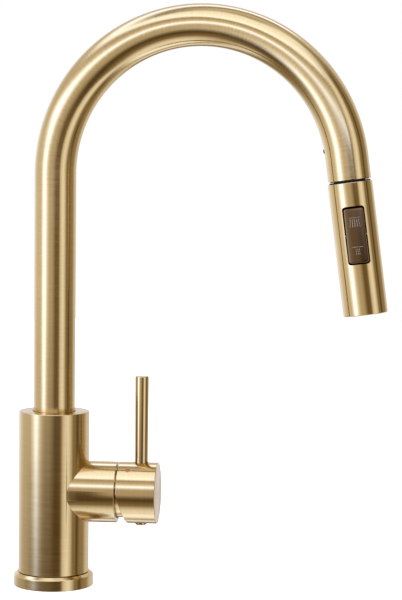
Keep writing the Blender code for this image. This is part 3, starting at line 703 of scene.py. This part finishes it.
# ---- hose ----------------------------------------------------------------------------------
def hose_lead_in():
    """The hose's last run, from the bend's centreline onto the head's axis."""
    start_s = ARC_END - HOSE_LEAD
    start, inward, _ = spout_station(start_s)
    leaving = Vector((-inward.z, 0, inward.x))
    end = HEAD @ Vector((0, 0, -0.0120))
    reach = (end - start).length
    step = 0.01

    def point(t):
        """Smooth curve that leaves along the bend and arrives along the head's axis."""
        return ((2 * t**3 - 3 * t**2 + 1) * start + (t**3 - 2 * t**2 + t) * reach * leaving
                + (3 * t**2 - 2 * t**3) * end + (t**3 - t**2) * reach * HEAD_AXIS)

    def station(s):
        t = min(max((s - start_s) / HOSE_LEAD, 0.0), 1.0)
        ahead = (point(min(t + step, 1.0)) - point(max(t - step, 0.0))).normalized()
        if t >= 1.0:
            ahead = HEAD_AXIS
        return point(t), -ahead.cross(Vector((0, 1, 0))), Vector((0, 1, 0))

    return station, start_s


def build_hose():
    station, split = hose_lead_in()
    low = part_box("spray_hose")[0].z
    rows = 60
    edge = 0.0003
    lower = [(0, low), (HOSE_R - edge, low), (HOSE_R, low + edge), (HOSE_R, ARC_Z)]
    lower += [(HOSE_R, ARC_Z + (split - ARC_Z) * i / rows) for i in range(1, rows + 1)]
    lower += [(0, split)]
    hose = turned("hose_inside", lower[::-1], spout_station, HOSE_SIDES)
    settle(smooth(hose), "spout", nylon_braid, "spray_hose", slot="hose_braid")
    rows = 64
    tail = [(0, split)] + [(HOSE_R, split + HOSE_LEAD * i / rows) for i in range(rows + 1)]
    tail += [(0, split + HOSE_LEAD)]
    reach = turned("hose_reach", tail[::-1], station, HOSE_SIDES)
    reach.data.materials.append(nylon_braid)
    shade(reach, 40)
    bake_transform(reach)

    fitting = rounded([(0, low - 0.0003, 0), (0.0068, low - 0.0003, 0.0004),
                       (0.0068, low - 0.009, 0.0003), (0.0050, low - 0.010, 0.0003),
                       (0.0050, low - 0.016, 0.0006), (0, low - 0.016, 0)])
    tail_piece = turned("hose_tail_fitting", fitting, along(BASE))
    settle(smooth(tail_piece), "spout", machined_brass, "hose_tail", slot="raw_brass")

    crimps = 5
    spacing = 0.0017
    ridge, groove = 0.0070, 0.0066
    ferrule = [(0, -0.0115), (0.0064, -0.0115), (0.0069, -0.0112), (ridge, -0.0108)]
    for i in range(crimps):
        base = -0.0100 + i * spacing
        ferrule += [(ridge, base), (groove, base + 0.0004), (groove, base + 0.0008), (ridge, base + 0.0012)]
    ferrule += [(ridge, -0.0014), (groove, -0.0010), (0, -0.0010)]
    crimp = turned("hose_crimp", ferrule[::-1], along(HEAD))
    settle(smooth(crimp, 25), "hose_end", machined_steel, "hose_ferrule", slot="steel")
    nut = rounded([(0, 0.0240, 0), (0.0073, 0.0240, 0.0005), (0.0073, 0.0005, 0.0010),
                   (0.0066, -0.0007, 0.0005), (0, -0.0007, 0)])
    swivel = turned("hose_swivel", nut, along(HEAD))
    settle(smooth(swivel), "hose_end", machined_steel, "hose_nut", slot="steel")


# ---- spray head ----------------------------------------------------------------------------
def rounded_outline(width, length, corner):
    """Closed loop (x, z) round a rectangle with round corners, with even points on its sides."""
    per_corner = 8
    per_side = 12
    arcs = []
    for side_x, side_z, start in ((1, 1, 0), (-1, 1, 90), (-1, -1, 180), (1, -1, 270)):
        x, z = side_x * (width / 2 - corner), side_z * (length / 2 - corner)
        turns = [math.radians(start + 90 * k / per_corner) for k in range(per_corner + 1)]
        arcs.append([(x + corner * math.cos(a), z + corner * math.sin(a)) for a in turns])
    points = []
    for arc, following in zip(arcs, arcs[1:] + arcs[:1]):
        points += arc
        (x, z), (next_x, next_z) = arc[-1], following[0]
        for k in range(1, per_side):
            t = k / per_side
            points.append((x + (next_x - x) * t, z + (next_z - z) * t))
    return points


def pad(name, matrix, width, length, corner, crown, depth, edge):
    """Block with a round-cornered outline, a crowned outer face (-Y side) and a rounded edge."""
    rounds = 5
    fills = 14
    least_corner = 0.0002
    shape = bmesh.new()
    uv = shape.loops.layers.uv.new("turn")

    def outline(inset):
        return rounded_outline(width - 2 * inset, length - 2 * inset, max(corner - inset, least_corner))

    def vert(x, y, z):
        return shape.verts.new(matrix @ Vector((x, y, z)))

    rings = [[vert(x, depth, z) for x, z in outline(0.0)]]
    for k in range(rounds + 1):
        a = math.pi / 2 * k / rounds
        drop = edge * (1 - math.sin(a))
        rings.append([vert(x, crown(x) + drop, z) for x, z in outline(edge * (1 - math.cos(a)))])
    for k in range(1, fills):
        f = 1 - k / fills
        rings.append([vert(x * f, crown(x * f), z * f) for x, z in outline(edge)])
    centre = vert(0, crown(0), 0)
    count = len(rings[0])
    for lower, upper in zip(rings, rings[1:]):
        for k in range(count):
            shape.faces.new((lower[k], lower[(k + 1) % count], upper[(k + 1) % count], upper[k]))
    for k in range(count):
        shape.faces.new((rings[-1][k], rings[-1][(k + 1) % count], centre))
    shape.faces.new(rings[0])
    inverse = matrix.inverted()
    for face in shape.faces:
        for loop in face.loops:
            local = inverse @ loop.vert.co
            loop[uv].uv = (local.x / (math.tau * HEAD_R), local.z)
    bmesh.ops.recalc_face_normals(shape, faces=shape.faces)
    return mesh_of(name, shape)


def stroke(shape, matrix, start, end, crown, width):
    """Thin raised bar between two points (x, z) on the button's face, with its edges sunk in it."""
    pieces = 6
    height = 0.00004
    sunk = 0.00001
    a, b = Vector((start[0], 0, start[1])), Vector((end[0], 0, end[1]))
    side = (b - a).cross(Vector((0, 1, 0))).normalized() * (width / 2)
    rows = []
    for k in range(pieces + 1):
        middle = a.lerp(b, k / pieces)
        row = []
        for offset, lift in ((-1, 0.0), (-0.7, height), (0.7, height), (1, 0.0)):
            p = middle + side * offset
            p.y = crown(p.x) - lift + sunk
            row.append(shape.verts.new(matrix @ p))
        rows.append(row)
    for near, far in zip(rows, rows[1:]):
        for k in range(3):
            shape.faces.new((near[k], near[k + 1], far[k + 1], far[k]))


def button_pictograms(crown):
    """A fan of rays and a block of drops on the button's face, each under a short line."""
    width = 0.00026
    half = 0.0034
    spray_top, stream_top = -0.0112, 0.0078
    strokes = [((-half, top), (half, top)) for top in (spray_top, stream_top)]
    ray_gap, ray_gap_below = 0.0013, 0.0016
    for k in range(-2, 3):
        strokes.append(((ray_gap * k, spray_top + 0.0009), (ray_gap_below * k, spray_top + 0.0060)))
    drop, drop_gap, row_gap = 0.0008, 0.0011, 0.0014
    for row in range(3):
        z = stream_top + 0.0012 + row_gap * row
        for k in range(-1, 2):
            strokes.append(((drop_gap * k, z), (drop_gap * k, z + drop)))
    shape = bmesh.new()
    for start, end in strokes:
        stroke(shape, ROCKER, start, end, crown, width)
    bmesh.ops.recalc_face_normals(shape, faces=shape.faces)
    marks = add("button_marks", mesh_of("button_marks", shape))
    marks.data.shade_smooth()
    settle(marks, "rocker", etched, slot="dark_gold")


def build_button():
    """Rocker with a crowned face that stands a little in front of the shell, and its boss."""
    radius = 0.0210
    centre_y = 0.0070
    pivot_y = (HEAD.inverted() @ ROCKER.translation).y
    face_depth = -0.0103 - pivot_y

    def crown(x):
        """The face is part of a cylinder."""
        return centre_y - math.sqrt(radius**2 - x * x) - pivot_y

    middle = ROCKER @ Matrix.Translation((0, 0, 0.0003))
    button = add("spray_button", pad("spray_button", middle, width=0.0136, length=0.0359, corner=0.0018,
                                     crown=crown, depth=face_depth, edge=0.0009))
    boss = add("button_boss", pad("button_boss", ROCKER, width=0.0100, length=0.0042, corner=0.0006,
                                  crown=lambda x: face_depth - 0.0004, depth=0.0020, edge=0.0002))
    settle(smooth(button, 40), "rocker", dark_gold, "rocker_button", slot="dark_gold")
    settle(smooth(boss, 40), "rocker", dark_gold, slot="dark_gold")
    button_pictograms(crown)


def build_shell():
    bore = 0.0132
    profile = rounded([(bore, HEAD_END, 0.0002), (HEAD_R, HEAD_END, 0.0005),
                       (HEAD_R, HEAD_START, 0.0004), (bore, HEAD_START, 0.0002)], closed=True)
    shell = turned("head_casing", profile, along(HEAD), FINE, closed=True)
    width, length = WINDOW_SIZE
    place = HEAD @ Matrix.Translation((0, 0, WINDOW_CENTRE))
    window = add("window", pad("window", place, width, length, corner=0.0020, crown=lambda x: -0.020,
                               depth=-0.011, edge=0.0001))
    cut(shell, [window])
    settle(smooth(shell, 32), "spray_head", polished_gold, "head_shell", slot="polished_gold")


def build_head():
    """Shell, rocker, docking collar, catch ring, spray face, nozzles and aerator."""
    build_shell()
    build_button()
    collar = rounded([
        (0.0078, 0.0262, 0.0003), (0.0129, 0.0262, 0.0003), (0.0129, 0.0167, 0),
        (0.0135, 0.0167, 0.0001), (0.0135, 0.0160, 0.0001), (0.0102, 0.0160, 0),
        (0.0102, 0.0118, 0.0008), (0.0088, 0.0060, 0.0010), (0.0083, 0.0040, 0.0003),
        (0.0078, 0.0042, 0),
    ], closed=True)
    nose = turned("docking_nose", collar, along(HEAD), closed=True)
    settle(smooth(nose), "spray_head", black_plastic, "head_collar", slot="black_plastic")
    ring = rounded([(0.0105, 0.0157, 0.0001), (0.0126, 0.0157, 0.0001), (0.0126, 0.01535, 0.0001),
                    (0.0105, 0.01535, 0.0001)], closed=True)
    catch = turned("catch_plate", ring, along(HEAD), closed=True)
    # The catch ring's steel is darkened as painted shade of the gap it sits in.
    settle(smooth(catch), "spray_head", shade_darkened_steel, "catch_ring", slot="steel")
    face = rounded([
        (0.0078, 0.0974, 0), (0.0078, 0.1026, 0.0003), (0.0084, 0.1026, 0.0002), (0.0086, 0.1022, 0.0002),
        (0.0122, 0.1022, 0.0002), (0.0124, 0.1026, 0.0002), (0.0129, 0.1026, 0.0003),
        (0.0129, 0.0974, 0),
    ], closed=True)
    plate = turned("spray_plate", face[::-1], along(HEAD), closed=True)
    settle(smooth(plate), "spray_head", grey_plastic, "spray_face", slot="grey_plastic")
    build_nozzles()
    build_aerator()


def build_nozzles():
    """Two circles of silicone nozzles in the spray plate's groove."""
    sides = 12
    nub = rounded([(0, 0.1021, 0), (0.00062, 0.1021, 0.0001), (0.00048, 0.1029, 0.00015),
                   (0.00018, 0.1029, 0), (0.00018, 0.1026, 0), (0, 0.1026, 0)], segments=3)
    shape = bmesh.new()
    for radius, count in ((0.0095, 20), (0.0112, 24)):
        for k in range(count):
            a = math.tau * k / count
            place = HEAD @ Matrix.Translation((radius * math.cos(a), radius * math.sin(a), 0))
            shape.from_mesh(revolve("nub", nub[::-1], along(place), sides))
    nozzles = add("spray_nozzles", mesh_of("spray_nozzles", shape))
    settle(smooth(nozzles), "spray_head", nozzle_silicone, slot="grey_plastic")


def build_aerator():
    """Aerator insert: concentric rings in a cup."""
    rings = 6
    widest = 0.0060
    spacing = 0.0010
    low, high = 0.1008, 0.1014
    profile = [(0, 0.0930), (0.0071, 0.0930), (0.0074, 0.0933), (0.0074, 0.1017), (0.0071, 0.1020),
               (0.0066, 0.1020), (0.0064, 0.1010)]
    for k in range(rings):
        r = widest - spacing * k
        profile += [(r, low), (r - 0.00005, high), (r - 0.00045, high), (r - 0.0005, low)]
    profile += [(0, low)]
    insert = turned("aerator_insert", profile[::-1], along(HEAD))
    settle(smooth(insert, 25), "spray_head", grey_plastic, "aerator", slot="grey_plastic")


# ---- finishes of the CAD nodes that stay ---------------------------------------------------
KEPT = {
    cast_brass: ("valve_block", "cartridge_nut", "spout_nipple"),
    turned_steel: ("cartridge_stem", "grub_screw", "rocker_pin"),
    white_plastic: ("spout_bush", "cartridge_body", "diverter_plunger", "diffuser_plate"),
    black_plastic: ("head_core",),
    grey_plastic: ("cartridge_base", "cartridge_rotor"),
    seal_rubber: ("lower_o_ring", "upper_o_ring", "inlet_washer"),
    lapped_ceramic: ("fixed_disc", "moving_disc"),
}


def finish_kept_nodes():
    for material, names in KEPT.items():
        for name in names:
            mesh = frame["nodes"][name].data
            mesh.materials.clear()
            mesh.materials.append(material)


# ---- studio --------------------------------------------------------------------------------
CAMERA_PLACE = Vector((0.3818, -1.2768, 0.29255))
CAMERA_TURN = math.radians(12.40)
CAMERA_PITCH = math.radians(4.2)
CAMERA_ROLL = math.radians(0.6)
CAMERA_LENS = 118.4

# Light levels round the horizon, by degrees from the camera's side, positive to its right.
WALLS = (
    (-180, 0.8), (-150, 1.3), (-115, 0.95), (-85, 1.0),   # pale room behind and to the left
    (-73, 2.0), (-66, 3.1), (-60, 3.1), (-50, 1.6),       # tall lamp on the left
    (-40, 0.95), (-30, 0.7), (-20, 0.68), (-10, 0.45),    # room in front
    (0, 0.17), (16, 0.2), (21, 0.35),                     # dark card beside the camera
    (27, 1.0), (42, 1.45), (50, 1.2), (58, 0.75),         # low lamp on the right
    (65, 0.27), (73, 0.33), (82, 0.08), (95, 0.35),       # dark cards on the right
    (115, 0.4), (135, 0.95), (180, 0.8),                  # pale room behind
)
# Light levels from straight down to straight up, in front of the faucet.
FRONT = (
    (-90, 1.1), (-75, 1.5), (-65, 1.2), (-50, 0.3), (-30, 0.1), (-15, 0.03),   # counter, darker nearby
    (0, 1.4), (8, 3.8), (19, 3.8), (25, 1.4),                                  # wide lamp over the camera
    (31, 0.9), (43, 0.5),                                                      # gap between the lamps
    (50, 2.3), (64, 1.85), (80, 1.7), (90, 0.4),                               # lamp overhead
)
# The same behind the faucet.
REAR = (
    (-90, 1.1), (-75, 2.1), (-60, 0.5), (-48, 1.6), (-36, 0.3), (-12, 0.3),    # counter
    (0, 0.8), (36, 0.8),                                                       # pale wall
    (48, 2.7), (60, 0.3), (75, 1.0), (90, 0.4),                                # strip lamp high behind
)
# Degrees above or below the horizon over which the walls give way to FRONT and REAR.
WALL_FADE = (6, 30)
# Degrees to either side over which FRONT gives way to REAR.
SIDE_FADE = (72, 108)
# The walls reach this many degrees further up and down on the right, between these turns.
WALL_RISE = 45
RISE_START = (10, 40)
RISE_END = (140, 170)


def lamp_colour(level):
    """Dim light comes off warm walls, and bright light from the cool lamps."""
    return (0.97 * level**0.85, level**1.02, 1.15 * level**1.40)


def ramp(n, stops, low, high, value):
    """Light of each level over degrees from low to high."""
    made = n.node("ShaderNodeValToRGB")
    elements = made.color_ramp.elements
    while len(elements) > 1:
        elements.remove(elements[-1])
    for index, (angle, level) in enumerate(stops):
        position = (angle - low) / (high - low)
        element = elements[0] if index == 0 else elements.new(position)
        element.position = position
        element.color = (*lamp_colour(level), 1)
    n.link(value, made.inputs[0])
    return made.outputs[0]


def eased(n, value, start, end):
    """Smooth step from 0 at start to 1 at end."""
    made = n.node("ShaderNodeMapRange", interpolation_type="SMOOTHSTEP")
    n.link(value, made.inputs["Value"])
    made.inputs["From Min"].default_value = start
    made.inputs["From Max"].default_value = end
    return made.outputs[0]


def build_world():
    """Studio light for everything but the camera, which sees a white backdrop."""
    world = bpy.data.worlds.new("studio")
    bpy.context.scene.world = world
    world.use_nodes = True
    world.node_tree.nodes.clear()
    n = Nodes(world.node_tree)
    direction = n.node("ShaderNodeTexCoord").outputs["Generated"]
    right = n.vector("DOT_PRODUCT", direction, (math.cos(CAMERA_TURN), math.sin(CAMERA_TURN), 0))
    back = n.vector("DOT_PRODUCT", direction, (math.sin(CAMERA_TURN), -math.cos(CAMERA_TURN), 0))
    up = n.vector("DOT_PRODUCT", direction, UP)
    turn = n.math("ADD", n.math("DIVIDE", n.math("ARCTAN2", right, back), math.tau), 0.5)
    height = n.math("ADD", n.math("DIVIDE", n.math("ARCSINE", up), math.pi), 0.5)
    walls = ramp(n, WALLS, -180, 180, turn)
    ahead = ramp(n, FRONT, -90, 90, height)
    behind = ramp(n, REAR, -90, 90, height)
    sideways = n.math("MULTIPLY", n.math("SUBTRACT", turn, 0.5), 360)
    on_right = n.math("SUBTRACT", eased(n, sideways, *RISE_START), eased(n, sideways, *RISE_END))
    slope = n.math("MULTIPLY", n.math("ABSOLUTE", n.math("SUBTRACT", height, 0.5)), 180)
    slope = n.math("SUBTRACT", slope, n.math("MULTIPLY", on_right, WALL_RISE))
    levels = n.mix(eased(n, n.math("ABSOLUTE", sideways), *SIDE_FADE), ahead, behind)
    studio = n.node("ShaderNodeBackground")
    n.link(n.mix(eased(n, slope, *WALL_FADE), walls, levels), studio.inputs["Color"])
    backdrop = n.node("ShaderNodeBackground")
    backdrop.inputs["Color"].default_value = (1, 1, 1, 1)
    choose = n.node("ShaderNodeMixShader")
    n.link(n.node("ShaderNodeLightPath").outputs["Is Camera Ray"], choose.inputs[0])
    n.link(studio.outputs[0], choose.inputs[1])
    n.link(backdrop.outputs[0], choose.inputs[2])
    n.link(choose.outputs[0], n.node("ShaderNodeOutputWorld").inputs[0])


def build_stage():
    """Pale round plinth as the deck, and a pale floor below it for the pulled-out head."""
    n = MaterialNodes("pale_floor")
    speck = n.spread(n.noise(n.place(), scale=30.0), 0, 1)
    n.surface(Base_Color=n.mix(speck, (0.86, 0.86, 0.86, 1), (0.90, 0.90, 0.90, 1)), Roughness=0.9,
              Emission_Color=(1, 1, 1, 1), Emission_Strength=0.62)
    plinth_r = 0.150
    floor_r = 6.0
    top, bottom = -0.0001, -0.320
    profile = rounded([(0, top, 0), (plinth_r, top, 0.004), (plinth_r, bottom, 0), (0, bottom, 0)])
    plinth = shade(turned("plinth", profile, along(BASE)))
    floor = turned("floor", [(0, bottom), (floor_r, bottom)], along(BASE))
    for piece in (plinth, floor):
        piece.data.materials.append(n.material)
        piece.visible_glossy = False


def build_camera():
    heading = Vector((-math.sin(CAMERA_TURN), math.cos(CAMERA_TURN), 0))
    forward = heading * math.cos(CAMERA_PITCH) - UP * math.sin(CAMERA_PITCH)
    level_right = Vector((math.cos(CAMERA_TURN), math.sin(CAMERA_TURN), 0))
    level_up = level_right.cross(forward)
    right = level_right * math.cos(CAMERA_ROLL) + level_up * math.sin(CAMERA_ROLL)
    data = bpy.data.cameras.new("camera")
    data.lens = CAMERA_LENS
    data.sensor_width = 36.0
    data.clip_start = 0.01
    data.clip_end = 50.0
    camera = add("camera", data)
    camera.matrix_world = axes(CAMERA_PLACE, right, right.cross(forward), -forward)
    bpy.context.scene.camera = camera


build_camera()
build_world()
build_stage()
build_flange()
build_shank()
build_washers()
build_nut()
build_body()
build_hub()
build_lever()
build_spout()
build_hose()
build_head()
finish_kept_nodes()

bpy.context.scene.view_settings.view_transform = "Standard"
